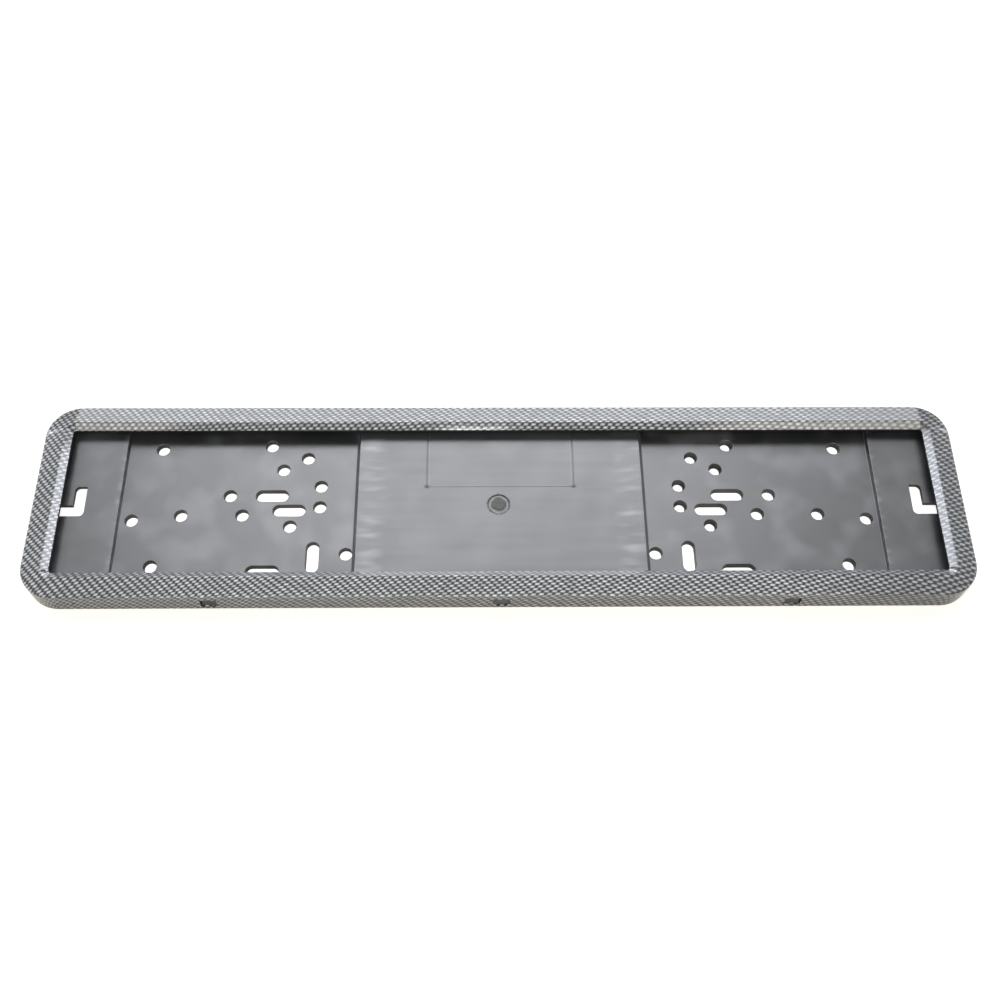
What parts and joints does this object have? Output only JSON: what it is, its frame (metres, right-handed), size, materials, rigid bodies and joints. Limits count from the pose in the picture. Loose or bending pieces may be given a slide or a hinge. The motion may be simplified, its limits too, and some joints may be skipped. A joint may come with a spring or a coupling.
{
  "type": "number plate holder",
  "caption": "Long flat holder for a number plate: black screw-on base plate with raised panels and slotted holes, and a clip-on carbon-look surround.",
  "frame": {"origin": "centre of the holder on the plane against the bumper", "axes": "+X along the plate, +Y towards the plate top edge, +Z out of the plate face"},
  "size_m": [0.534, 0.123, 0.0175],
  "materials": {
    "base_plastic": "satin black, injection moulded",
    "carbon_film": "carbon-look dipped film under clear gloss lacquer"
  },
  "bodies": {
    "root": {"base_plate": "base_plastic", "surround": "carbon_film"}
  },
  "joints": []
}
